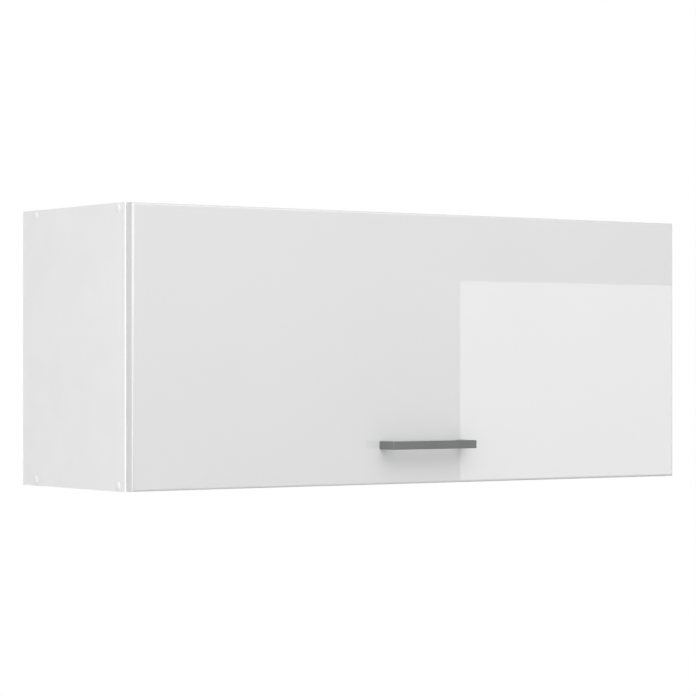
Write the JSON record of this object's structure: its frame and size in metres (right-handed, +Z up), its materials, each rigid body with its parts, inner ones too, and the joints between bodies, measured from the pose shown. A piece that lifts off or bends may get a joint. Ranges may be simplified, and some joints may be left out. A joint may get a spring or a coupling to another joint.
{
  "type": "lift up wall cabinet",
  "caption": "Wide low wall cabinet with one lift-up front on cup hinges and side lift stays, a square bar handle low on the front, and concealed hangers at the back.",
  "frame": {"origin": "middle of the lower rear edge of the carcass, on the wall plane", "axes": "+X to the right of a person who faces the front, -Y out of the wall towards that person, +Z up"},
  "size_m": [1.0026, 0.353, 0.405],
  "materials": {
    "white_melamine": "white melamine board, fine satin grain",
    "white_hardboard": "white lacquered hardboard",
    "white_edge_band": "satin white edge band",
    "gloss_white_front": "high gloss white foil on fibreboard",
    "grey_handle": "dark grey satin",
    "bright_zinc_steel": "bright zinc plated",
    "nickel_steel": "nickel plated",
    "white_plastic": "moulded white",
    "grey_plastic": "moulded light grey",
    "clear_pad": "clear soft pad",
    "beech": "plain beech"
  },
  "bodies": {
    "cabinet": {"side_panel_left": "white_melamine", "side_panel_right": "white_melamine", "top_panel": "white_melamine", "bottom_panel": "white_melamine", "back_panel": "white_hardboard", "edge_bands": "white_edge_band", "carcass_screws": "bright_zinc_steel", "hanger_screws": "bright_zinc_steel", "hanger_fixings": "bright_zinc_steel", "hinge_plate_screws": "bright_zinc_steel", "hinge_arm_screws": "bright_zinc_steel", "stay_screws": "bright_zinc_steel", "hanger_hook_left": "bright_zinc_steel", "hanger_hook_right": "bright_zinc_steel", "wall_plate_left": "bright_zinc_steel", "wall_plate_right": "bright_zinc_steel", "stay_base_left": "bright_zinc_steel", "stay_base_right": "bright_zinc_steel", "stay_cartridge_left": "bright_zinc_steel", "stay_cartridge_right": "bright_zinc_steel", "hinge_plate_left": "nickel_steel", "hinge_plate_right": "nickel_steel", "hinge_arm_left": "nickel_steel", "hinge_arm_right": "nickel_steel", "screw_caps": "white_plastic", "hanger_housing_left": "white_plastic", "hanger_housing_right": "white_plastic", "hanger_cover_left": "white_plastic", "hanger_cover_right": "white_plastic", "stay_cover_left": "grey_plastic", "stay_cover_right": "grey_plastic", "bumper_pads": "clear_pad", "wood_dowels": "beech"},
    "flap": {"flap_panel": "gloss_white_front", "handle": "grey_handle", "handle_screws": "bright_zinc_steel", "hinge_cup_screws": "bright_zinc_steel", "stay_bracket_screws": "bright_zinc_steel", "hinge_cup_left": "nickel_steel", "hinge_cup_right": "nickel_steel", "hinge_pin_left": "nickel_steel", "hinge_pin_right": "nickel_steel", "stay_bracket_left": "nickel_steel", "stay_bracket_right": "nickel_steel", "bracket_pin_left": "bright_zinc_steel", "bracket_pin_right": "bright_zinc_steel"},
    "lever_left": {"stay_lever_left": "nickel_steel", "stay_shaft_left": "bright_zinc_steel", "lever_screw_left": "bright_zinc_steel", "lever_pin_left": "bright_zinc_steel"},
    "lever_right": {"stay_lever_right": "nickel_steel", "stay_shaft_right": "bright_zinc_steel", "lever_screw_right": "bright_zinc_steel", "lever_pin_right": "bright_zinc_steel"},
    "link_left": {"stay_link_left": "nickel_steel"},
    "link_right": {"stay_link_right": "nickel_steel"}
  },
  "joints": [
    {"name": "flap_hinge", "type": "hinge", "parent": "cabinet", "child": "flap", "pos_m": [0, -0.3115, 0.3982], "axis": [-1, 0, 0], "range_deg": [0, 90]},
    {"name": "stay_lever_left_pivot", "type": "hinge", "parent": "cabinet", "child": "lever_left", "pos_m": [-0.464, -0.2415, 0.3532], "axis": [-1, 0, 0], "range_deg": [0, 90]},
    {"name": "stay_link_left_pivot", "type": "hinge", "parent": "lever_left", "child": "link_left", "pos_m": [-0.4605, -0.2165, 0.2382], "axis": [1, 0, 0], "range_deg": [0, 90]},
    {"name": "stay_lever_right_pivot", "type": "hinge", "parent": "cabinet", "child": "lever_right", "pos_m": [0.464, -0.2415, 0.3532], "axis": [-1, 0, 0], "range_deg": [0, 90]},
    {"name": "stay_link_right_pivot", "type": "hinge", "parent": "lever_right", "child": "link_right", "pos_m": [0.4605, -0.2165, 0.2382], "axis": [1, 0, 0], "range_deg": [0, 90]}
  ],
  "couplings": [
    {"joint": "stay_lever_left_pivot", "follows": "flap_hinge", "ratio": 1},
    {"joint": "stay_link_left_pivot", "follows": "flap_hinge", "ratio": 1},
    {"joint": "stay_lever_right_pivot", "follows": "flap_hinge", "ratio": 1},
    {"joint": "stay_link_right_pivot", "follows": "flap_hinge", "ratio": 1}
  ]
}
